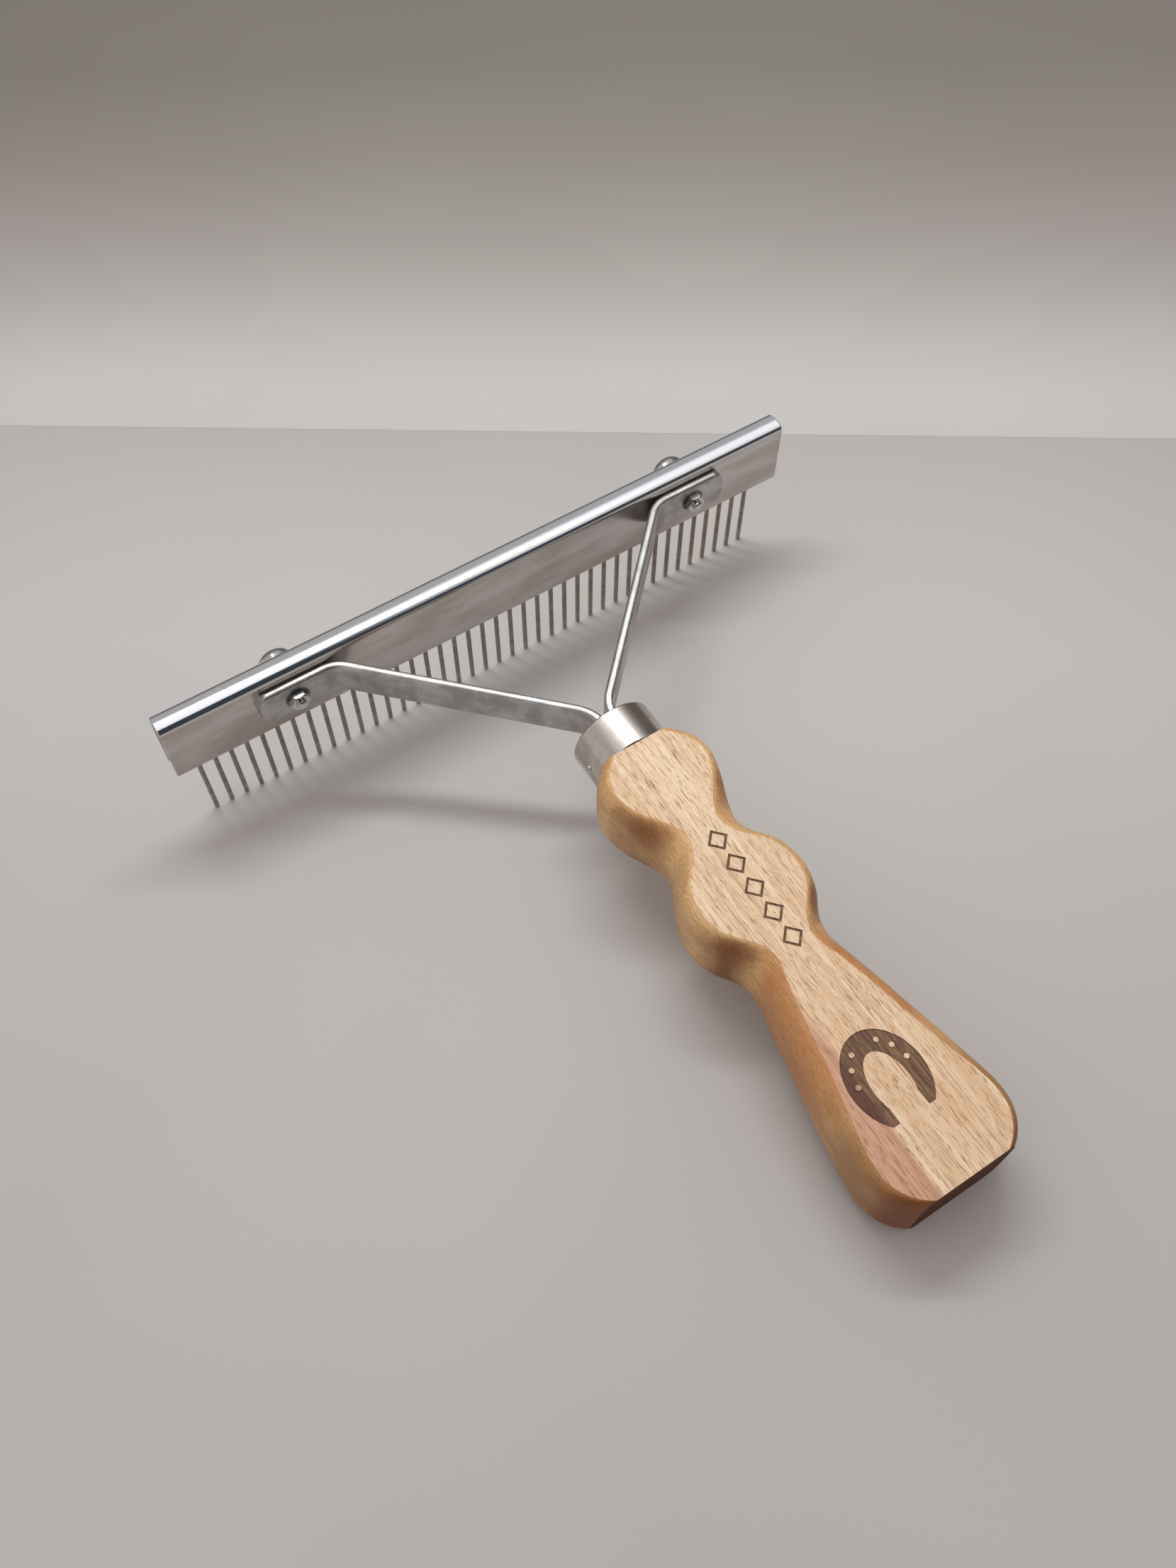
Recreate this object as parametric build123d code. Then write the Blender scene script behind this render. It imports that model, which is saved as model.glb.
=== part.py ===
from build123d import *
from math import asin, atan2, cos, degrees, hypot, radians, sin, sqrt
import os

# Show comb: a row of round steel teeth in a folded aluminium back, carried by two bent steel
# straps that run through a ferrule into a wooden handle. All sizes are in millimetres.
#
# Every piece is drawn in the tool frame: X along the back, Y from the handle towards the back,
# Z away from the teeth. X = 0 is the handle's middle plane, Y = 0 the back's face on the handle
# side and Z = 0 the back's open lower edge. The whole comb is then tilted into the pose in which
# it rests on its tooth tips and on the lower edge of the handle's butt.

# Folded back
BACK_LENGTH = 228.6
BACK_CENTRE_X = -1.8
BACK_THICKNESS = 8.2
BACK_SIDE_HEIGHT = 23.3
BACK_CROWN = 0.9
BACK_SHOULDER_RADIUS = 2.4
SHEET_THICKNESS = 1.6
BACK_END_FILLET = 0.5

# Bar inside the back that holds the teeth
BAR_BOTTOM = 4.5
BAR_TOP = 20.5
BAR_END_INSET = 0.6

# Teeth
TOOTH_COUNT = 40
TOOTH_PITCH = 5.42
TOOTH_ROW_CENTRE_X = -2.8
TOOTH_RADIUS = 0.8
TOOTH_LENGTH_BELOW_BACK = 31.7
TOOTH_TOP = 11.4

# Straps
STRAP_THICKNESS = 3.0
STRAP_WIDTH = 12.7
STRAP_EDGE_FILLET = 1.25
STRAP_END_X = 86.0
STRAP_CORNER_X = 59.65
STRAP_CORNER_RADIUS = 10.0
STRAP_SLOPE = 0.988
TANG_X = 2.25
TANG_BEND_RADIUS = 12.0
TANG_END_Y = -122.0
TAB_CORNER_RADIUS = 3.6

# Fasteners through strap and back
BOLT_X = 73.8
BOLT_RADIUS = 1.75
BOLT_STUB = 1.3
HEAD_RADIUS = 6.2
HEAD_RIM = 2.2
HEAD_HEIGHT = 6.3
HEAD_CROWN_RADIUS = 3.2
NUT_ACROSS_FLATS = 6.0
NUT_HEIGHT = 2.6
NUT_CHAMFER = 0.45
BOLT_END_CHAMFER = 0.4

# Ferrule and the brad that pins it to the wood
AXIS_Z = 13.7
FERRULE_RADIUS = 13.3
FERRULE_WALL = 0.9
FERRULE_FRONT_Y = -65.5
FERRULE_LIP_FILLET = 0.6
BRAD_RADIUS = 0.9
BRAD_LENGTH = 9.0
BRAD_HEAD_DOME = 0.35
BRAD_HEAD_RADIUS = 1.3
BRAD_ANGLE = 172.0
BRAD_Y = -73.7

# Handle: stations are distances from the ferrule towards the butt
HANDLE_FRONT_Y = -79.2
HANDLE_LENGTH = 149.1
HANDLE_THICKNESS = 26.0
TENON_RECESS = 0.8
BUTT_CORNER_START = 136.0
SIDE_STATIONS = [(0, 13.4), (2, 15.2), (5, 17.2), (10, 18.4), (20, 16.4), (27, 14.2), (35, 12.5), (43, 15.6),
                 (50, 18.4), (56, 19.1), (64, 17.5), (71, 13.9), (77, 12.8), (92, 15.2), (117, 20.2),
                 (BUTT_CORNER_START, 22.3)]
FLAT_STATIONS = [(0, 8.0), (5, 12.6), (12, 15.1), (20, 12.6), (27, 7.7), (33, 4.8), (39, 7.0), (47, 13.8),
                 (55, 15.9), (62.5, 14.1), (69.5, 8.8), (75.5, 5.6), (84, 7.9), (96, 11.0), (108, 13.3),
                 (122, 16.8), (BUTT_CORNER_START, 19.5)]
SIDE_CORNER_RADIUS = 15.6
FLAT_CORNER_RADIUS = 14.7
ROUND_OVER_BASE = 2.3
ROUND_OVER_RATE = 1.5
ROUND_OVER_MAX = 12.2

# Shallow ornament burnt into the handle's upper flat: a row of lozenges and a horseshoe
ORNAMENT_DEPTH = 0.3
LOZENGE_COUNT = 5
LOZENGE_PITCH = 8.7
LOZENGE_CENTRE = (1.0, -135.5)
LOZENGE_HALF_WIDTH = 3.4
LOZENGE_HALF_LENGTH = 3.7
LOZENGE_LINE = 0.75
HORSESHOE_CENTRE = (-2.4, -197.5)
HORSESHOE_OUTER = (11.0, 14.0)
HORSESHOE_INNER = (5.4, 9.6)
HORSESHOE_INNER_SHIFT = 1.8
HORSESHOE_GAP = 9.5
HORSESHOE_HEEL = 11.0
NAIL_RING = (8.0, 11.2)
NAIL_HOLE_RADIUS = 0.75
NAIL_ANGLES = (10, 35, 60, 120, 145, 170)

# Cross-sections of the handle
SECTION_STATIONS = [0, 1, 2.5, 5, 8, 12, 16, 20, 24, 28, 31, 33, 35, 38, 41, 44, 47, 51, 55, 59, 63, 66, 69,
                    72, 75, 77, 80, 84, 90, 97, 105, 114, 123, 131, 136, 140, 143, 145.5, 147.5, HANDLE_LENGTH]

# Derived sizes
BACK_TOP = BACK_SIDE_HEIGHT + BACK_CROWN
TOOTH_Y = BACK_THICKNESS / 2
BAR_THICKNESS = BACK_THICKNESS - 2 * SHEET_THICKNESS
STRAP_BOTTOM = AXIS_Z - STRAP_WIDTH / 2
STRAP_TOP = AXIS_Z + STRAP_WIDTH / 2
FERRULE_BORE = FERRULE_RADIUS - FERRULE_WALL
HANDLE_TOP = AXIS_Z + HANDLE_THICKNESS / 2
HANDLE_BOTTOM = AXIS_Z - HANDLE_THICKNESS / 2
BUTT_Y = HANDLE_FRONT_Y - HANDLE_LENGTH


def hermite_slopes(points):
    """Slopes of a smooth curve that keeps every peak and dip of the stations where it is."""
    steps = [(b[1] - a[1]) / (b[0] - a[0]) for a, b in zip(points, points[1:])]
    slopes = [steps[0]]
    for before, after in zip(steps, steps[1:]):
        level = before * after <= 0
        slopes.append(0 if level else 2 * before * after / (before + after))
    slopes.append(0)
    return slopes


def smooth_value(points, station):
    """Value at a station of the smooth curve through the listed points."""
    slopes = hermite_slopes(points)
    for (a, b), (slope_a, slope_b) in zip(zip(points, points[1:]), zip(slopes, slopes[1:])):
        if station <= b[0]:
            span = b[0] - a[0]
            t = (station - a[0]) / span
            rise = t * t * (3 - 2 * t)
            return (a[1] * (1 - rise) + b[1] * rise
                    + span * slope_a * t * (1 - t) ** 2 - span * slope_b * t * t * (1 - t))
    return points[-1][1]


def half_width(points, corner_radius, station):
    """Half-width along the handle, ending in a round corner that the butt cuts off."""
    past = station - BUTT_CORNER_START
    if past <= 0:
        return smooth_value(points, station)
    return points[-1][1] - corner_radius + sqrt(corner_radius ** 2 - past ** 2)


def handle_section(station):
    """Closed cross-section: flat top and bottom with elliptical round-overs to the sides."""
    side = half_width(SIDE_STATIONS, SIDE_CORNER_RADIUS, station)
    flat = half_width(FLAT_STATIONS, FLAT_CORNER_RADIUS, station)
    across = side - flat
    down = min(ROUND_OVER_MAX, ROUND_OVER_BASE + ROUND_OVER_RATE * across)
    level = HANDLE_THICKNESS / 2 - down
    plane = Plane(origin=(0, HANDLE_FRONT_Y - station, AXIS_Z), x_dir=(1, 0, 0), z_dir=(0, -1, 0))
    with BuildSketch(plane) as section:
        with BuildLine():
            Line((-flat, level + down), (flat, level + down))
            EllipticalCenterArc((flat, level), across, down, start_angle=0)
            Line((side, level), (side, -level))
            EllipticalCenterArc((flat, -level), across, down, start_angle=270)
            Line((flat, -level - down), (-flat, -level - down))
            EllipticalCenterArc((-flat, -level), across, down, start_angle=180)
            Line((-side, -level), (-side, level))
            EllipticalCenterArc((-flat, level), across, down, start_angle=90)
        make_face()
    return section.sketch.face()


def along_y(radius, start_y, end_y, x, z):
    """Round bar parallel to Y."""
    length = end_y - start_y
    return Pos(x, start_y + length / 2, z) * Rot(90, 0, 0) * Cylinder(radius, length)


def strap_path(side):
    """Centre line of a strap, from its tab end to the end of its tang."""
    mid_y = -STRAP_THICKNESS / 2
    tang_corner_y = mid_y - (STRAP_CORNER_X - TANG_X) / STRAP_SLOPE
    corners = [(side * STRAP_END_X, mid_y, AXIS_Z), (side * STRAP_CORNER_X, mid_y, AXIS_Z),
               (side * TANG_X, tang_corner_y, AXIS_Z), (side * TANG_X, TANG_END_Y, AXIS_Z)]
    return FilletPolyline(*corners, radius=[STRAP_CORNER_RADIUS, TANG_BEND_RADIUS])


def make_strap(side):
    """Flat strip on edge, swept round its two bends, with a round-cornered tab and a bolt hole."""
    path = strap_path(side)
    start = Plane(origin=path @ 0, z_dir=path % 0, x_dir=(0, 0, 1))
    profile = start * RectangleRounded(STRAP_WIDTH, STRAP_THICKNESS, STRAP_EDGE_FILLET)
    strap = sweep(profile, path=path)
    end_block = Box(2 * TAB_CORNER_RADIUS, STRAP_THICKNESS, STRAP_WIDTH)
    end_block = Pos(side * STRAP_END_X, -STRAP_THICKNESS / 2, AXIS_Z) * end_block
    rounded_tab = Box(STRAP_WIDTH, STRAP_THICKNESS, STRAP_WIDTH)
    rounded_tab = fillet(rounded_tab.edges().filter_by(Axis.Y), TAB_CORNER_RADIUS)
    rounded_tab = Pos(side * (STRAP_END_X - STRAP_WIDTH / 2), -STRAP_THICKNESS / 2, AXIS_Z) * rounded_tab
    strap = strap - (end_block - rounded_tab)
    return strap - along_y(BOLT_RADIUS, -STRAP_THICKNESS, 0, side * BOLT_X, AXIS_Z)


def back_profile():
    """Outline of the back's section: straight sides, a shallow crown and round shoulders."""
    with BuildSketch(Plane.YZ) as section:
        with BuildLine():
            near_top = (0, BACK_SIDE_HEIGHT)
            far_top = (BACK_THICKNESS, BACK_SIDE_HEIGHT)
            Polyline(near_top, (0, 0), (BACK_THICKNESS, 0), far_top)
            ThreePointArc(far_top, (BACK_THICKNESS / 2, BACK_TOP), near_top)
        make_face()
        shoulders = section.vertices().group_by(Axis.Y)[-1]
        fillet(shoulders, BACK_SHOULDER_RADIUS)
    return section.sketch


def make_comb_back():
    """Sheet folded into a deep channel, open below and at both deburred ends, with two bolt holes."""
    outer = back_profile()
    blank = extrude(outer, BACK_LENGTH / 2, both=True)
    end_edges = blank.edges().group_by(Axis.X)
    blank = fillet(end_edges[0] + end_edges[-1], BACK_END_FILLET)
    opening = Plane.YZ * Pos(BACK_THICKNESS / 2, 0) * Rectangle(BAR_THICKNESS, 4 * SHEET_THICKNESS)
    channel = offset(outer, amount=-SHEET_THICKNESS) + opening
    back = Pos(BACK_CENTRE_X, 0, 0) * (blank - extrude(channel, BACK_LENGTH, both=True))
    for side in (-1, 1):
        back = back - along_y(BOLT_RADIUS, 0, BACK_THICKNESS, side * BOLT_X, AXIS_Z)
    return back


def tooth_places():
    """X of every tooth, from left to right."""
    first = TOOTH_ROW_CENTRE_X - TOOTH_PITCH * (TOOTH_COUNT - 1) / 2
    return [first + TOOTH_PITCH * i for i in range(TOOTH_COUNT)]


def make_tooth(x):
    """Round pin with a ball tip."""
    tip = -TOOTH_LENGTH_BELOW_BACK + TOOTH_RADIUS
    length = TOOTH_TOP - tip
    shank = Pos(x, TOOTH_Y, tip + length / 2) * Cylinder(TOOTH_RADIUS, length)
    return shank + Pos(x, TOOTH_Y, tip) * Sphere(TOOTH_RADIUS)


def make_tooth_bar():
    """Solid bar between the back's two sides, drilled for the teeth and the bolts."""
    length = BACK_LENGTH - 2 * BAR_END_INSET
    height = BAR_TOP - BAR_BOTTOM
    bar = Pos(BACK_CENTRE_X, TOOTH_Y, BAR_BOTTOM + height / 2) * Box(length, BAR_THICKNESS, height)
    depth = TOOTH_TOP - BAR_BOTTOM
    for x in tooth_places():
        bar = bar - Pos(x, TOOTH_Y, BAR_BOTTOM + depth / 2) * Cylinder(TOOTH_RADIUS, depth)
    for side in (-1, 1):
        bar = bar - along_y(BOLT_RADIUS, 0, BACK_THICKNESS, side * BOLT_X, AXIS_Z)
    return bar


def make_bolt(side):
    """Screw with a deep round head behind the back and a short stub past its nut."""
    x = side * BOLT_X
    shank_end = -STRAP_THICKNESS - NUT_HEIGHT - BOLT_STUB
    shank = along_y(BOLT_RADIUS, shank_end, BACK_THICKNESS, x, AXIS_Z)
    shank = chamfer(shank.edges().group_by(Axis.Y)[0], BOLT_END_CHAMFER)
    head = along_y(HEAD_RADIUS, BACK_THICKNESS, BACK_THICKNESS + HEAD_HEIGHT, x, AXIS_Z)
    head = fillet(head.edges().group_by(Axis.Y)[-1], HEAD_CROWN_RADIUS)
    return shank + head


def make_nut(side):
    """Small hexagon nut on the handle side of the strap."""
    x = side * BOLT_X
    plane = Plane(origin=(x, -STRAP_THICKNESS, AXIS_Z), x_dir=(1, 0, 0), z_dir=(0, -1, 0))
    nut = extrude(plane * RegularPolygon(NUT_ACROSS_FLATS / 2, 6, major_radius=False), NUT_HEIGHT)
    corner_radius = NUT_ACROSS_FLATS / sqrt(3)
    round_blank = along_y(corner_radius, -STRAP_THICKNESS - NUT_HEIGHT, -STRAP_THICKNESS, x, AXIS_Z)
    round_blank = chamfer(round_blank.edges().group_by(Axis.Y)[0], NUT_CHAMFER)
    nut = nut & round_blank
    return nut - along_y(BOLT_RADIUS, -STRAP_THICKNESS - NUT_HEIGHT, -STRAP_THICKNESS, x, AXIS_Z)


def brad_place():
    """Frame on the ferrule's wall, with Z pointing inwards to the handle's axis."""
    return Pos(0, BRAD_Y, AXIS_Z) * Rot(0, -BRAD_ANGLE, 0) * Pos(FERRULE_RADIUS, 0, 0) * Rot(0, -90, 0)


def make_ferrule_brad():
    """Headed nail through the ferrule into the tenon."""
    shank = Pos(0, 0, BRAD_LENGTH / 2) * Cylinder(BRAD_RADIUS, BRAD_LENGTH)
    head = Cylinder(BRAD_HEAD_RADIUS, 2 * BRAD_HEAD_DOME)
    head = fillet(head.edges().group_by(Axis.Z)[0], BRAD_HEAD_DOME)
    return brad_place() * (shank + head)


def make_ferrule():
    """Short thin-walled tube with eased lips, drilled for the brad."""
    tube = along_y(FERRULE_RADIUS, HANDLE_FRONT_Y, FERRULE_FRONT_Y, 0, AXIS_Z)
    tube = fillet(tube.edges().filter_by(GeomType.CIRCLE), FERRULE_LIP_FILLET)
    tube = tube - along_y(FERRULE_BORE, HANDLE_FRONT_Y, FERRULE_FRONT_Y, 0, AXIS_Z)
    return tube - make_ferrule_brad()


def lozenge_row():
    """Row of lozenge outlines along the handle."""
    width, length = LOZENGE_HALF_WIDTH, LOZENGE_HALF_LENGTH
    lozenge = make_face(Polyline((width, 0), (0, length), (-width, 0), (0, -length), close=True))
    outline = lozenge - offset(lozenge, amount=-LOZENGE_LINE, kind=Kind.INTERSECTION)
    x, centre_y = LOZENGE_CENTRE
    first_y = centre_y - LOZENGE_PITCH * (LOZENGE_COUNT - 1) / 2
    return [Pos(x, first_y + LOZENGE_PITCH * i) * outline for i in range(LOZENGE_COUNT)]


def horseshoe():
    """Horseshoe with its open end towards the butt and three nail holes on each side."""
    shoe = Ellipse(*HORSESHOE_OUTER) - Pos(0, -HORSESHOE_INNER_SHIFT) * Ellipse(*HORSESHOE_INNER)
    shoe = shoe - Pos(0, -HORSESHOE_OUTER[1]) * Rectangle(HORSESHOE_GAP, HORSESHOE_OUTER[1])
    shoe = shoe - Pos(0, -HORSESHOE_HEEL - HORSESHOE_OUTER[1] / 2) * Rectangle(
        2 * HORSESHOE_OUTER[0], HORSESHOE_OUTER[1])
    for angle in NAIL_ANGLES:
        x = NAIL_RING[0] * cos(radians(angle))
        y = NAIL_RING[1] * sin(radians(angle))
        shoe = shoe - Pos(x, y) * Circle(NAIL_HOLE_RADIUS)
    return Pos(*HORSESHOE_CENTRE) * shoe


def make_handle():
    """Wooden grip with two finger waists, a tenon for the ferrule and slots for the two tangs."""
    grip = loft([handle_section(station) for station in SECTION_STATIONS])
    tenon = along_y(FERRULE_BORE, HANDLE_FRONT_Y, FERRULE_FRONT_Y - TENON_RECESS, 0, AXIS_Z)
    handle = grip + tenon
    for shape in lozenge_row() + [horseshoe()]:
        handle = handle - extrude(Pos(0, 0, HANDLE_TOP) * shape, -ORNAMENT_DEPTH)
    for side in (-1, 1):
        handle = handle - make_strap(side)
    return handle - make_ferrule_brad()


def resting_tilt():
    """Angle about X that brings the tooth tips and the butt's lower edge to one level."""
    run = TOOTH_Y - BUTT_Y
    drop = HANDLE_BOTTOM + TOOTH_LENGTH_BELOW_BACK - TOOTH_RADIUS
    return degrees(asin(TOOTH_RADIUS / hypot(run, drop)) + atan2(drop, run))


def make_pieces():
    """Every piece by name, in the tool frame."""
    pieces = {f"tooth_{i:02d}": make_tooth(x) for i, x in enumerate(tooth_places(), start=1)}
    pieces["comb_back"] = make_comb_back()
    pieces["tooth_bar"] = make_tooth_bar()
    pieces["ferrule"] = make_ferrule()
    pieces["ferrule_brad"] = make_ferrule_brad()
    pieces["handle"] = make_handle()
    for name, side in (("left", -1), ("right", 1)):
        pieces[f"strap_{name}"] = make_strap(side)
        pieces[f"bolt_{name}"] = make_bolt(side)
        pieces[f"nut_{name}"] = make_nut(side)
    return pieces


def stand_on_table(pieces):
    """Tilts the comb into its resting pose, with the middle of its footprint at the origin."""
    tilted = {name: Rot(resting_tilt(), 0, 0) * piece for name, piece in pieces.items()}
    box = Compound(list(tilted.values())).bounding_box()
    centre = box.center()
    shift = Pos(-centre.X, -centre.Y, -box.min.Z)
    print("resting tilt", resting_tilt(), "shift", -centre.X, -centre.Y, -box.min.Z, "size", box.size)
    return {name: shift * piece for name, piece in tilted.items()}


os.makedirs("parts", exist_ok=True)
for name, piece in stand_on_table(make_pieces()).items():
    export_step(piece, f"parts/{name}.step")
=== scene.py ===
"""Show comb: a row of steel teeth in a folded aluminium back, two bent straps, a ferrule and a wooden handle.

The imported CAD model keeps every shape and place. This script gives each of its pieces a procedural
material and adds the floor, the light, the room that the metal reflects, and the camera.
"""
from math import cos, pi, radians, sin

import bpy
from mathutils import Euler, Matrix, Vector

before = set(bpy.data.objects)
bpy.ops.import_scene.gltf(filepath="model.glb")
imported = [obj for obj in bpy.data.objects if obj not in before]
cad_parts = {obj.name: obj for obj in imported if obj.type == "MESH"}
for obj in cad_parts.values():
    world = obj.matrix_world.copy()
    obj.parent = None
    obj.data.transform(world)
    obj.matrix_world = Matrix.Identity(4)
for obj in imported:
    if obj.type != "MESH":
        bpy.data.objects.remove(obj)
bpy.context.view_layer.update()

MM = 0.001


def colour(red, green, blue):
    """Linear colour from an 8-bit sRGB one."""
    def linear(value):
        part = value / 255
        return part / 12.92 if part <= 0.04045 else ((part + 0.055) / 1.055) ** 2.4
    return (linear(red), linear(green), linear(blue), 1.0)


# The tool's own frame, in which the comb was drawn: X along the back, Y from the handle to the back,
# Z away from the teeth. At rest it is tilted about X, and this is where its origin then lies.
TILT = radians(7.94)
TOOL_ORIGIN = Vector((1.8, 108.44, 30.84)) * MM

# Places on the comb, in millimetres in the tool's own frame
HANDLE_TOP = 26.7
RECESS_FLOOR = 26.4
BUTT_Y = -228.3
SLACK = 0.02
BOLT_X = 73.8
BOLT_Z = 13.7
# Inner and outer radius of the ring of painted shade round each nut
NUT_SHADE_INNER = 3.7
NUT_SHADE_OUTER = 4.4
HEARTWOOD_X = -9.5
HEARTWOOD_Y = -175.0

# Where the handle's mesh keeps its second and third materials
BURNT_SLOT = 1
END_GRAIN_SLOT = 2

# Camera
CAMERA_PLACE = Vector((-129.9, -195.2, 368.5)) * MM
CAMERA_TURN = (radians(36.97), radians(4.02), radians(-32.57))
CAMERA_LENS = 32.54
CAMERA_SENSOR = 36.0

# Floor: two boards that meet at a seam behind the comb, each with its tones by metres past the seam. These
# tones are a painted light falloff: painted shade darkens the near board towards the seam, where it ends in a
# dark edge, and darkens the far board more and more with distance.
FLOOR_SIZE = 6.0
SEAM_PLACE = Vector((93.4, 202.5, 0)) * MM
SEAM_TURN = radians(-38.5)
SEAM_GAP = 0.6 * MM
SEAM_DROP = 1.5 * MM
BOARD_CLOUD = colour(192, 187, 185)
NEAR_BOARD_FALLOFF_AND_SEAM = [
    (-0.12, colour(198, 195, 193)), (-0.04, colour(190, 186, 184)), (-0.0012, colour(184, 180, 177)),
    (0.0, colour(150, 146, 143)),
]
FAR_BOARD_PAINTED_FALLOFF = [
    (0.0, colour(201, 198, 197)), (0.03, colour(201, 198, 196)), (0.06, colour(194, 190, 188)),
    (0.09, colour(182, 178, 174)), (0.14, colour(166, 160, 156)), (0.21, colour(152, 146, 140)),
    (0.30, colour(139, 133, 127)),
]

# Strip lamp above the comb
STRIP_PLACE = (0.085, 0.24, 0.60)
STRIP_SIZE = (0.50, 0.07)
STRIP_TURN = radians(-32)
STRIP_POWER = 1.8
STRIP_COLOUR = (0.93, 1.0, 0.985)

# Room that the metal reflects: tones along an arch from the far side (0) over the top to the near side (1).
# Other tones take over towards its left and right ends and, on the left, past the top.
ROOM_STRENGTH = 1.3
ROOM_ARCH = [
    (0.00, (0.10, 0.10, 0.10, 1)), (0.16, (0.16, 0.155, 0.15, 1)), (0.22, (0.34, 0.34, 0.345, 1)),
    (0.34, (0.38, 0.38, 0.39, 1)), (0.39, (0.86, 0.87, 0.90, 1)), (0.485, (0.92, 0.92, 0.93, 1)),
    (0.495, (0.22, 0.22, 0.23, 1)), (0.515, (0.22, 0.22, 0.23, 1)), (0.525, (0.84, 0.84, 0.85, 1)),
    (0.72, (0.66, 0.65, 0.65, 1)), (0.79, (0.05, 0.055, 0.065, 1)), (1.00, (0.03, 0.035, 0.045, 1)),
]
ROOM_NEAR = (0.035, 0.04, 0.05, 1)
ROOM_NEAR_ARCH = (0.57, 0.63)
ROOM_NEAR_SIDE = (0.34, 0.14)
ROOM_LEFT = (0.45, 0.43, 0.42, 1)
ROOM_LEFT_SIDE = (-0.35, -0.80)
ROOM_RIGHT = (0.12, 0.11, 0.105, 1)
ROOM_RIGHT_SIDE = (0.50, 0.85)
ROOM_FILL = (0.51, 0.470, 0.463, 1)
ROOM_BACKGROUND = (0.42, 0.40, 0.39, 1)


# Node helpers

class Graph:
    """A material's nodes, with one short call for each kind that the materials here use."""

    def __init__(self, name):
        self.material = bpy.data.materials.new(name)
        self.material.use_nodes = True
        self.tree = self.material.node_tree
        self.shader = self.tree.nodes["Principled BSDF"]

    @classmethod
    def of_world(cls, world):
        graph = cls.__new__(cls)
        graph.tree = world.node_tree
        return graph

    def add(self, kind, plugs, **settings):
        node = self.tree.nodes.new(kind)
        for key, value in settings.items():
            setattr(node, key, value)
        for socket, value in plugs.items():
            self.plug(node.inputs[socket], value)
        return node

    def plug(self, socket, value):
        if isinstance(value, bpy.types.NodeSocket):
            self.tree.links.new(value, socket)
        else:
            socket.default_value = value

    def surface(self, **plugs):
        for name, value in plugs.items():
            self.plug(self.shader.inputs[name.replace("_", " ")], value)
        return self.material

    def place(self):
        """Place on the comb in the tool's frame, in millimetres."""
        source = self.tree.nodes.new("ShaderNodeTexCoord").outputs["Object"]
        plugs = {"Vector": source, "Location": TOOL_ORIGIN, "Rotation": (TILT, 0, 0), "Scale": (MM, MM, MM)}
        return self.add("ShaderNodeMapping", plugs, vector_type="TEXTURE").outputs[0]

    def facing(self):
        """Direction the surface faces, in the tool's frame."""
        source = self.tree.nodes.new("ShaderNodeTexCoord").outputs["Normal"]
        plugs = {"Vector": source, "Rotation": (-TILT, 0, 0)}
        return self.add("ShaderNodeMapping", plugs, vector_type="VECTOR").outputs[0]

    def split(self, vector):
        return self.add("ShaderNodeSeparateXYZ", {0: vector}).outputs

    def noise(self, vector, size=1.0, detail=2.0, roughness=0.5):
        plugs = {"Vector": vector, "Scale": size, "Detail": detail, "Roughness": roughness}
        return self.add("ShaderNodeTexNoise", plugs).outputs[0]

    def streaks(self, vector, factors, detail, roughness=0.5):
        """Noise with a scale of its own along each axis."""
        stretched = self.add("ShaderNodeMapping", {"Vector": vector, "Scale": factors}).outputs[0]
        return self.noise(stretched, detail=detail, roughness=roughness)

    def math(self, operation, first, second=0.0):
        return self.add("ShaderNodeMath", {0: first, 1: second}, operation=operation).outputs[0]

    def vector_math(self, operation, first, second):
        return self.add("ShaderNodeVectorMath", {0: first, 1: second}, operation=operation).outputs[0]

    def step(self, value, low, high, out_low=0.0, out_high=1.0):
        """Smooth step from one output to the other while the value goes from low to high."""
        plugs = {"Value": value, "From Min": low, "From Max": high, "To Min": out_low, "To Max": out_high}
        return self.add("ShaderNodeMapRange", plugs, interpolation_type="SMOOTHSTEP").outputs[0]

    def mix(self, factor, first, second, blend="MIX"):
        node = self.add("ShaderNodeMix", {0: factor}, data_type="RGBA", blend_type=blend)
        self.plug(node.inputs[6], first)
        self.plug(node.inputs[7], second)
        return node.outputs[2]

    def ramp(self, value, stops):
        """Colour ramp through (place, colour) stops."""
        node = self.add("ShaderNodeValToRGB", {0: value})
        elements = node.color_ramp.elements
        while len(elements) < len(stops):
            elements.new(1.0)
        for element, (place, tone) in zip(elements, stops):
            element.position = place
            element.color = tone
        return node.outputs[0]

    def bump(self, height, distance):
        return self.add("ShaderNodeBump", {"Height": height, "Distance": distance}).outputs[0]


def dress(nodes, material):
    """Gives the named CAD nodes one material."""
    for node in nodes:
        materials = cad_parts[node].data.materials
        materials.clear()
        materials.append(material)


# Materials

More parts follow.
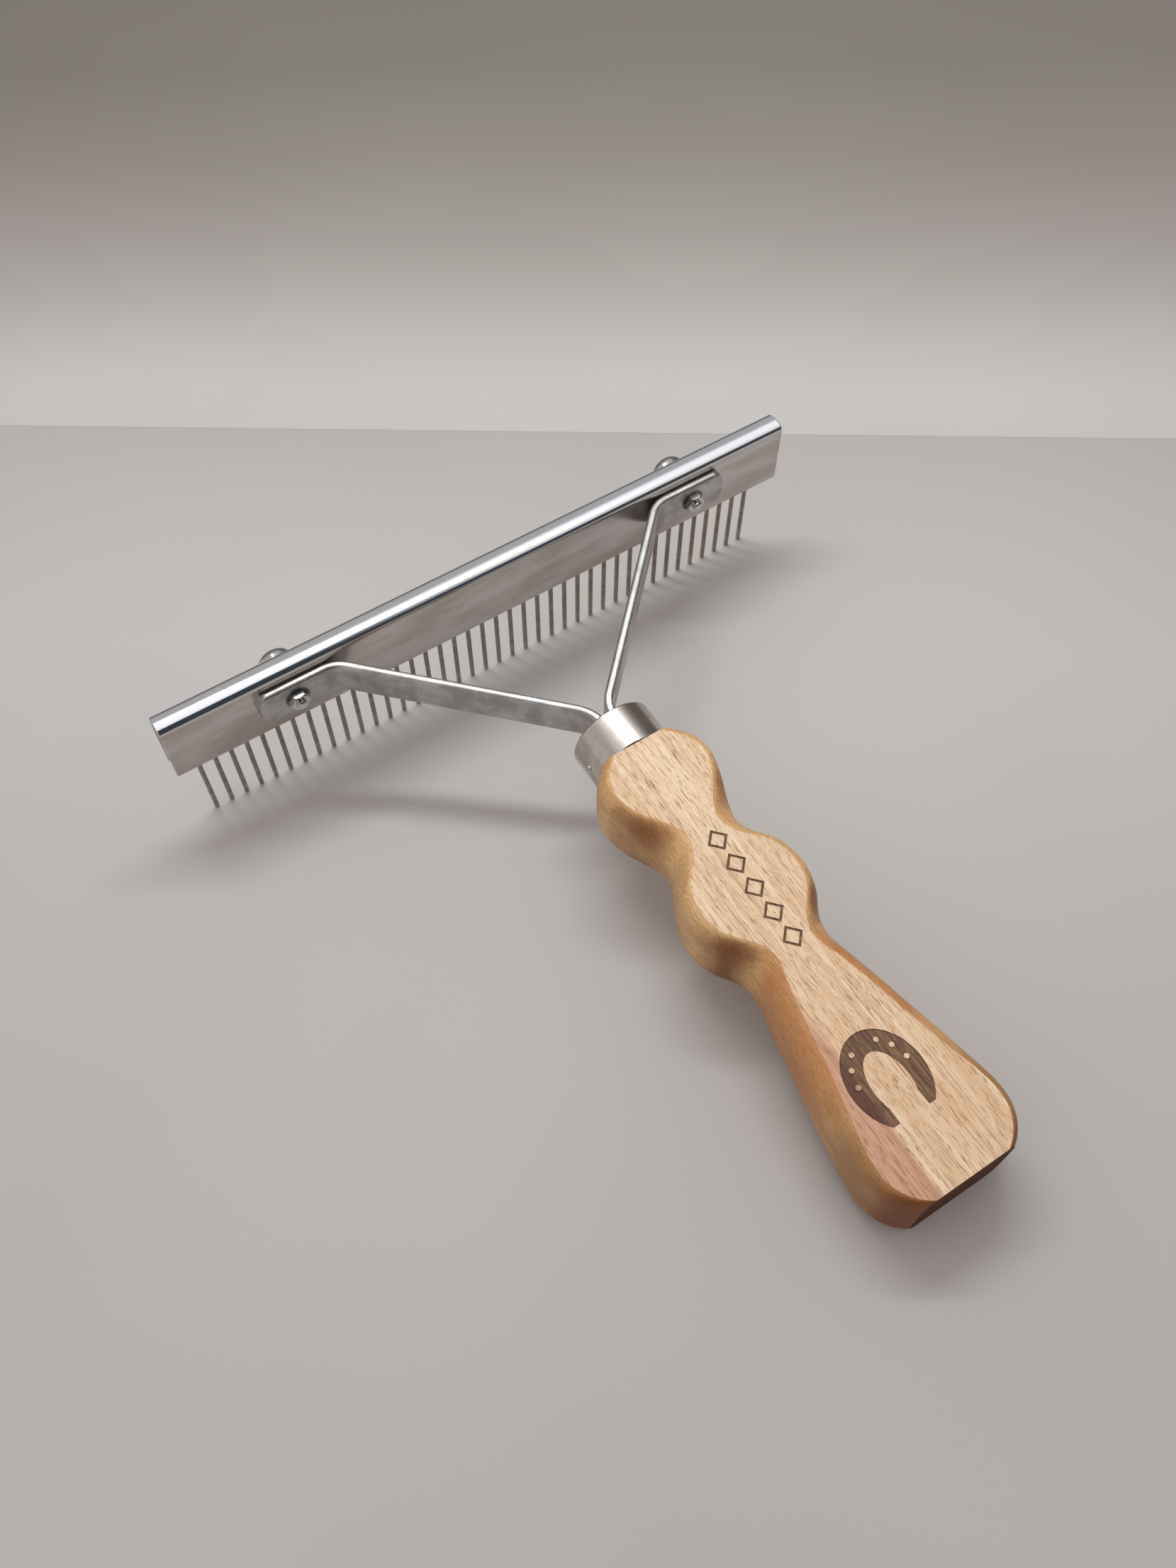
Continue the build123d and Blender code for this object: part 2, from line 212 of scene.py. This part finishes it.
def back_material():
    """Rolled sheet: glossy crown, satin sides with fine lengthwise lines, scuffs and a few smudges."""
    g = Graph("rolled_aluminium")
    place = g.place()
    lines = g.streaks(place, (0.02, 7, 7), detail=4, roughness=0.6)
    scuffs = g.streaks(place, (0.5, 3, 3), detail=3, roughness=0.65)
    smudges = g.streaks(place, (0.03, 0.11, 0.11), detail=3, roughness=0.55)
    crown = g.step(g.split(g.facing())[2], 0.10, 0.45)
    tone = g.mix(g.step(smudges, 0.38, 0.64), colour(214, 208, 205), colour(192, 182, 175))
    tone = g.mix(g.step(lines, 0.35, 0.7, 0.0, 0.35), tone, colour(176, 171, 169))
    tone = g.mix(crown, tone, colour(226, 226, 228))
    satin = g.math("ADD", g.step(lines, 0.3, 0.7, 0.15, 0.22), g.step(smudges, 0.4, 0.7, 0.0, 0.08))
    satin = g.math("MULTIPLY", satin, g.step(crown, 0.0, 1.0, 1.0, 0.25))
    rough = g.math("ADD", satin, g.step(scuffs, 0.5, 0.8, 0.03, 0.06))
    height = g.math("ADD", g.math("MULTIPLY", lines, 0.9), g.math("MULTIPLY", scuffs, 0.1))
    return g.surface(Base_Color=tone, Metallic=1.0, Roughness=rough, Normal=g.bump(height, 0.004 * MM))


def strap_material():
    """Plated strip: satin, faintly pitted, with a dark ring of painted shade round each nut."""
    g = Graph("plated_strip")
    place = g.place()
    pits = g.noise(place, size=1.8, detail=4, roughness=0.6)
    cloud = g.noise(place, size=0.14, detail=4, roughness=0.6)
    tone = g.mix(g.step(cloud, 0.35, 0.65), colour(202, 199, 197), colour(172, 167, 164))
    x, _, z = g.split(place)
    sideways = g.math("SUBTRACT", g.math("ABSOLUTE", x), BOLT_X)
    upward = g.math("SUBTRACT", z, BOLT_Z)
    from_bolt = g.math("SQRT", g.math("ADD", g.math("POWER", sideways, 2.0), g.math("POWER", upward, 2.0)))
    # Painted shade: the strip darkens in a ring round each nut, where shade falls between nut and strip.
    tone = g.mix(g.step(from_bolt, NUT_SHADE_OUTER, NUT_SHADE_INNER, 0.0, 0.8), tone, colour(62, 57, 54))
    rough = g.math("ADD", g.step(cloud, 0.3, 0.7, 0.34, 0.42), g.step(pits, 0.4, 0.7, 0.0, 0.07))
    return g.surface(Base_Color=tone, Metallic=1.0, Roughness=rough, Normal=g.bump(pits, 0.016 * MM))


def tooth_material():
    """Drawn steel wire: a little dull, with fine draw lines and a brown cast."""
    g = Graph("drawn_wire")
    place = g.place()
    draw = g.streaks(place, (9, 9, 0.25), detail=3, roughness=0.6)
    cloud = g.noise(place, size=0.35, detail=3)
    tone = g.mix(g.step(cloud, 0.35, 0.65), colour(178, 166, 156), colour(158, 145, 134))
    rough = g.step(draw, 0.3, 0.7, 0.30, 0.42)
    return g.surface(Base_Color=tone, Metallic=1.0, Roughness=rough, Normal=g.bump(draw, 0.003 * MM))


def bar_material():
    """Plain steel bar, dull."""
    g = Graph("drawn_bar")
    place = g.place()
    lines = g.streaks(place, (0.05, 4, 4), detail=4, roughness=0.6)
    tone = g.mix(lines, colour(130, 124, 118), colour(96, 90, 85))
    return g.surface(Base_Color=tone, Metallic=1.0, Roughness=g.step(lines, 0.3, 0.7, 0.38, 0.55),
                     Normal=g.bump(lines, 0.01 * MM))


def plating_material():
    """Bright plating on the screws and nuts, with handling scuffs."""
    g = Graph("bright_plating")
    place = g.place()
    scuffs = g.noise(place, size=1.6, detail=4, roughness=0.6)
    tone = g.mix(g.step(scuffs, 0.4, 0.7), colour(216, 215, 213), colour(184, 180, 176))
    rough = g.step(scuffs, 0.35, 0.7, 0.10, 0.22)
    return g.surface(Base_Color=tone, Metallic=1.0, Roughness=rough, Normal=g.bump(scuffs, 0.008 * MM))


def ferrule_material():
    """Brushed nickel plate: fine lines round the tube."""
    g = Graph("brushed_nickel")
    place = g.place()
    rings = g.streaks(place, (0.15, 12, 0.15), detail=4, roughness=0.7)
    cloud = g.noise(place, size=0.25, detail=4, roughness=0.6)
    tone = g.mix(g.step(cloud, 0.35, 0.65), colour(214, 206, 197), colour(196, 186, 177))
    tone = g.mix(g.step(rings, 0.35, 0.7, 0.0, 0.3), tone, colour(176, 165, 155))
    rough = g.math("ADD", g.step(rings, 0.3, 0.7, 0.17, 0.25), g.step(cloud, 0.4, 0.7, 0.0, 0.04))
    return g.surface(Base_Color=tone, Metallic=1.0, Roughness=rough, Normal=g.bump(rings, 0.0025 * MM))


def wood_grain(g):
    """What the wood's colours and marks follow: the place, and noises of several sizes along the grain."""
    place = g.place()
    sway = g.streaks(place, (0.03, 0.009, 0.03), detail=1)
    sway = g.math("MULTIPLY", g.math("SUBTRACT", sway, 0.5), 2.5)
    grain = g.vector_math("ADD", place, g.add("ShaderNodeCombineXYZ", {0: sway, 1: 0.0, 2: sway}).outputs[0])
    return {
        "place": g.split(place),
        "bands": g.streaks(grain, (0.33, 0.007, 0.33), detail=3, roughness=0.55),
        "fibres": g.streaks(grain, (2.6, 0.10, 2.6), detail=5, roughness=0.66),
        "ticks": g.streaks(grain, (3.6, 0.22, 3.6), detail=2, roughness=0.6),
        "lines": g.streaks(grain, (1.9, 0.02, 1.9), detail=3, roughness=0.6),
        "clouds": g.streaks(grain, (0.10, 0.045, 0.10), detail=4, roughness=0.6),
        "stipple": g.noise(place, size=2.6, detail=2, roughness=0.7),
    }


def heartwood(g, grain):
    """Share of pinkish heartwood, which runs along the left side of the flat near the butt."""
    x, y, _ = grain["place"]
    edge = g.math("ADD", x, g.math("MULTIPLY", g.math("SUBTRACT", grain["lines"], 0.5), 5.0))
    across = g.step(edge, HEARTWOOD_X + 0.8, HEARTWOOD_X - 0.8)
    along = g.step(y, HEARTWOOD_Y + 14, HEARTWOOD_Y - 12)
    return g.math("MULTIPLY", across, along)


def flat_tone(g, grain):
    """Cream flat with soft growth bands, long dark lines and many short dark ticks."""
    tone = g.mix(g.step(grain["bands"], 0.36, 0.64), colour(246, 221, 190), colour(229, 195, 158))
    tone = g.mix(g.step(grain["clouds"], 0.45, 0.68, 0.0, 0.5), tone, colour(226, 184, 144))
    pink = g.mix(g.step(grain["bands"], 0.36, 0.60), colour(212, 164, 138), colour(188, 136, 110))
    tone = g.mix(g.math("MULTIPLY", heartwood(g, grain), 0.85), tone, pink)
    tone = g.mix(g.step(grain["fibres"], 0.44, 0.70, 0.0, 0.55), tone, colour(206, 164, 124))
    tone = g.mix(g.step(grain["lines"], 0.60, 0.65, 0.0, 0.55), tone, colour(172, 128, 90))
    return g.mix(g.step(grain["ticks"], 0.575, 0.625, 0.0, 0.70), tone, colour(158, 112, 74))


def side_tone(g, grain, lengthwise):
    """Golden side, browner and stippled where its curve cuts the grain, reddish past the second waist, and
    dark brown on the slopes that face the butt, partly from end grain and partly as painted shade.
    """
    _, y, _ = grain["place"]
    tone = g.mix(g.step(grain["fibres"], 0.36, 0.68), colour(230, 190, 136), colour(204, 158, 104))
    tone = g.mix(g.step(grain["clouds"], 0.42, 0.66, 0.0, 0.6), tone, colour(184, 132, 78))
    red_start = g.step(y, HEARTWOOD_Y + 26, HEARTWOOD_Y + 12)
    red_zone = g.math("MULTIPLY", red_start, g.step(y, HEARTWOOD_Y - 28, HEARTWOOD_Y - 8))
    tone = g.mix(g.math("MULTIPLY", red_zone, 0.6), tone, colour(182, 112, 62))
    tone = g.mix(g.step(y, HEARTWOOD_Y - 15, HEARTWOOD_Y - 35, 0.0, 0.7), tone, colour(140, 92, 48))
    cross_cut = g.step(g.math("ABSOLUTE", lengthwise), 0.10, 0.70)
    tone = g.mix(g.math("MULTIPLY", cross_cut, 0.25), tone, colour(160, 106, 58))
    # Slopes that face the butt turn dark brown: partly end-grain darkening, partly painted shade, since they
    # face away from the lamp.
    tone = g.mix(g.step(lengthwise, -0.04, -0.60, 0.0, 0.85), tone, colour(118, 62, 22))
    stipple = g.step(grain["stipple"], 0.50, 0.64)
    stipple = g.math("MULTIPLY", stipple, g.step(cross_cut, 0.0, 0.6, 0.30, 0.85))
    tone = g.mix(g.math("MULTIPLY", stipple, 0.75), tone, colour(92, 52, 30))
    return g.mix(g.step(grain["ticks"], 0.56, 0.66, 0.0, 0.35), tone, colour(120, 76, 44))


def wood_material():
    """Oiled pale hardwood: cream flats with fine grain and pores, and golden rounded sides."""
    g = Graph("oiled_hardwood")
    grain = wood_grain(g)
    _, lengthwise, upward = g.split(g.facing())
    level = g.step(g.math("ABSOLUTE", upward), 0.980, 0.997)
    tone = g.mix(level, side_tone(g, grain, lengthwise), flat_tone(g, grain))
    arris = g.math("MULTIPLY", level, g.math("SUBTRACT", 1.0, level))
    tone = g.mix(g.math("MULTIPLY", arris, 2.4), tone, colour(186, 122, 68))

    ticks = g.step(grain["ticks"], 0.54, 0.68)
    rough = g.math("ADD", g.step(level, 0.0, 1.0, 0.38, 0.50), g.math("MULTIPLY", ticks, 0.12))
    height = g.math("SUBTRACT", g.math("MULTIPLY", grain["fibres"], 0.5), g.math("MULTIPLY", ticks, 0.6))
    return g.surface(Base_Color=tone, Roughness=rough, Specular_IOR_Level=0.3,
                     Normal=g.bump(height, 0.05 * MM))


def burnt_material():
    """Burnt wood in the ornament's shallow recess: brown to near black along the same grain."""
    g = Graph("burnt_wood")
    grain = wood_grain(g)
    tone = g.mix(g.step(grain["fibres"], 0.36, 0.66), colour(152, 118, 90), colour(98, 68, 48))
    tone = g.mix(g.step(grain["lines"], 0.54, 0.66, 0.0, 0.8), tone, colour(78, 50, 36))
    tone = g.mix(g.step(grain["ticks"], 0.50, 0.62, 0.0, 0.75), tone, colour(84, 55, 40))
    tone = g.mix(g.math("MULTIPLY", heartwood(g, grain), 0.75), tone, colour(92, 54, 46))
    height = g.math("ADD", grain["fibres"], g.math("MULTIPLY", grain["ticks"], 0.6))
    return g.surface(Base_Color=tone, Roughness=0.72, Normal=g.bump(height, 0.06 * MM))


def end_grain_material():
    """End grain of the butt: dark brown from the oil it took up, speckled with open pores."""
    g = Graph("oiled_end_grain")
    grain = wood_grain(g)
    tone = g.mix(g.step(grain["stipple"], 0.35, 0.65), colour(110, 72, 56), colour(72, 46, 36))
    tone = g.mix(g.step(grain["bands"], 0.40, 0.60, 0.0, 0.5), tone, colour(86, 56, 44))
    return g.surface(Base_Color=tone, Roughness=0.8, Specular_IOR_Level=0.1,
                     Normal=g.bump(grain["stipple"], 0.05 * MM))


def mark_handle():
    """Gives the handle's shallow recesses the burnt material, and the flat end of its butt the end grain."""
    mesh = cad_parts["handle"].data
    mesh.materials.append(burnt_material())
    mesh.materials.append(end_grain_material())
    to_tool = Euler((-TILT, 0, 0)).to_matrix()
    for polygon in mesh.polygons:
        centre = to_tool @ (polygon.center - TOOL_ORIGIN) / MM
        facing = to_tool @ polygon.normal
        in_recess = RECESS_FLOOR - SLACK < centre.z < HANDLE_TOP - SLACK
        level_or_upright = facing.z > 0.9999 or abs(facing.z) < 0.02
        if in_recess and level_or_upright:
            polygon.material_index = BURNT_SLOT
        elif centre.y < BUTT_Y + SLACK and facing.y < -0.99:
            polygon.material_index = END_GRAIN_SLOT


def dress_comb():
    dress(["comb_back"], back_material())
    dress(["tooth_bar"], bar_material())
    teeth = [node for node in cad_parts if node.startswith("tooth_") and node != "tooth_bar"]
    dress(teeth, tooth_material())
    dress(["strap_left", "strap_right"], strap_material())
    dress(["bolt_left", "bolt_right", "nut_left", "nut_right", "ferrule_brad"], plating_material())
    dress(["ferrule"], ferrule_material())
    dress(["handle"], wood_material())
    mark_handle()


# Stage, light and camera

def make_board(name, near, far, height, material):
    """Flat board across the whole view, between two distances past the seam."""
    along = Vector((cos(SEAM_TURN), sin(SEAM_TURN), 0))
    away = Vector((-along.y, along.x, 0))
    corners = [(-FLOOR_SIZE, near), (FLOOR_SIZE, near), (FLOOR_SIZE, far), (-FLOOR_SIZE, far)]
    vertices = [SEAM_PLACE + side * along + out * away + Vector((0, 0, height)) for side, out in corners]
    mesh = bpy.data.meshes.new(name)
    mesh.from_pydata(vertices, [], [(0, 1, 2, 3)])
    mesh.materials.append(material)
    board = bpy.data.objects.new(name, mesh)
    bpy.context.scene.collection.objects.link(board)


def board_material(name, tones):
    """Smooth pale board, faintly cloudy, whose tone follows the distance past the seam as a painted light
    falloff.
    """
    g = Graph(name)
    source = g.tree.nodes.new("ShaderNodeTexCoord").outputs["Object"]
    away = Vector((-sin(SEAM_TURN), cos(SEAM_TURN), 0))
    distance = g.add("ShaderNodeVectorMath", {0: source, 1: away}, operation="DOT_PRODUCT").outputs["Value"]
    past_seam = g.math("SUBTRACT", distance, SEAM_PLACE.dot(away))
    first, last = tones[0][0], tones[-1][0]
    share = g.add("ShaderNodeMapRange", {"Value": past_seam, "From Min": first, "From Max": last}).outputs[0]
    # The ramp paints the light falloff across the board as shade.
    tone = g.ramp(share, [((place - first) / (last - first), shade) for place, shade in tones])
    cloud = g.noise(source, size=3.0, detail=3)
    tone = g.mix(g.step(cloud, 0.3, 0.7, 0.08, 0.22), tone, BOARD_CLOUD, "MULTIPLY")
    return g.surface(Base_Color=tone, Roughness=0.62)


def make_stage():
    """Pale floor of two boards with a hairline seam behind the comb."""
    make_board("floor_near", -FLOOR_SIZE, -SEAM_GAP, 0.0, board_material("near_board", NEAR_BOARD_FALLOFF_AND_SEAM))
    make_board("floor_far", -SEAM_GAP, FLOOR_SIZE, -SEAM_DROP, board_material("far_board", FAR_BOARD_PAINTED_FALLOFF))


def make_lamp():
    """Long narrow lamp that shines straight down, turned in plan: it gives the comb its streaky shadows."""
    data = bpy.data.lights.new("lamp_strip", "AREA")
    data.shape = "RECTANGLE"
    data.size, data.size_y = STRIP_SIZE
    data.energy = STRIP_POWER
    data.color = STRIP_COLOUR
    lamp = bpy.data.objects.new("lamp_strip", data)
    lamp.location = STRIP_PLACE
    lamp.rotation_euler = (0, 0, STRIP_TURN)
    bpy.context.scene.collection.objects.link(lamp)


def make_room():
    """Room round the stage: an arch that shows in the metal, an even fill light and a plain background."""
    world = bpy.data.worlds.new("room")
    world.use_nodes = True
    g = Graph.of_world(world)
    sideways, across, upward = g.split(g.tree.nodes.new("ShaderNodeTexCoord").outputs["Generated"])
    over = g.math("DIVIDE", g.math("ARCTAN2", upward, across), pi)
    near = g.math("MULTIPLY", g.step(over, *ROOM_NEAR_ARCH), g.step(sideways, *ROOM_NEAR_SIDE))
    room = g.mix(near, g.ramp(over, ROOM_ARCH), ROOM_NEAR)
    room = g.mix(g.step(sideways, *ROOM_LEFT_SIDE), room, ROOM_LEFT)
    room = g.mix(g.step(sideways, *ROOM_RIGHT_SIDE), room, ROOM_RIGHT)
    ray = g.tree.nodes.new("ShaderNodeLightPath").outputs
    room = g.mix(ray["Is Diffuse Ray"], room, ROOM_FILL)
    room = g.mix(ray["Is Camera Ray"], room, ROOM_BACKGROUND)
    background = g.tree.nodes["Background"].inputs
    g.plug(background["Color"], room)
    g.plug(background["Strength"], ROOM_STRENGTH)
    bpy.context.scene.world = world


def make_camera():
    data = bpy.data.cameras.new("camera")
    data.sensor_fit = "VERTICAL"
    data.sensor_height = CAMERA_SENSOR
    data.lens = CAMERA_LENS
    data.clip_start = 0.01
    camera = bpy.data.objects.new("camera", data)
    camera.location = CAMERA_PLACE
    camera.rotation_euler = Euler(CAMERA_TURN)
    bpy.context.scene.collection.objects.link(camera)
    bpy.context.scene.camera = camera


make_camera()
make_stage()
make_room()
make_lamp()
dress_comb()
bpy.context.scene.view_settings.view_transform = "Standard"
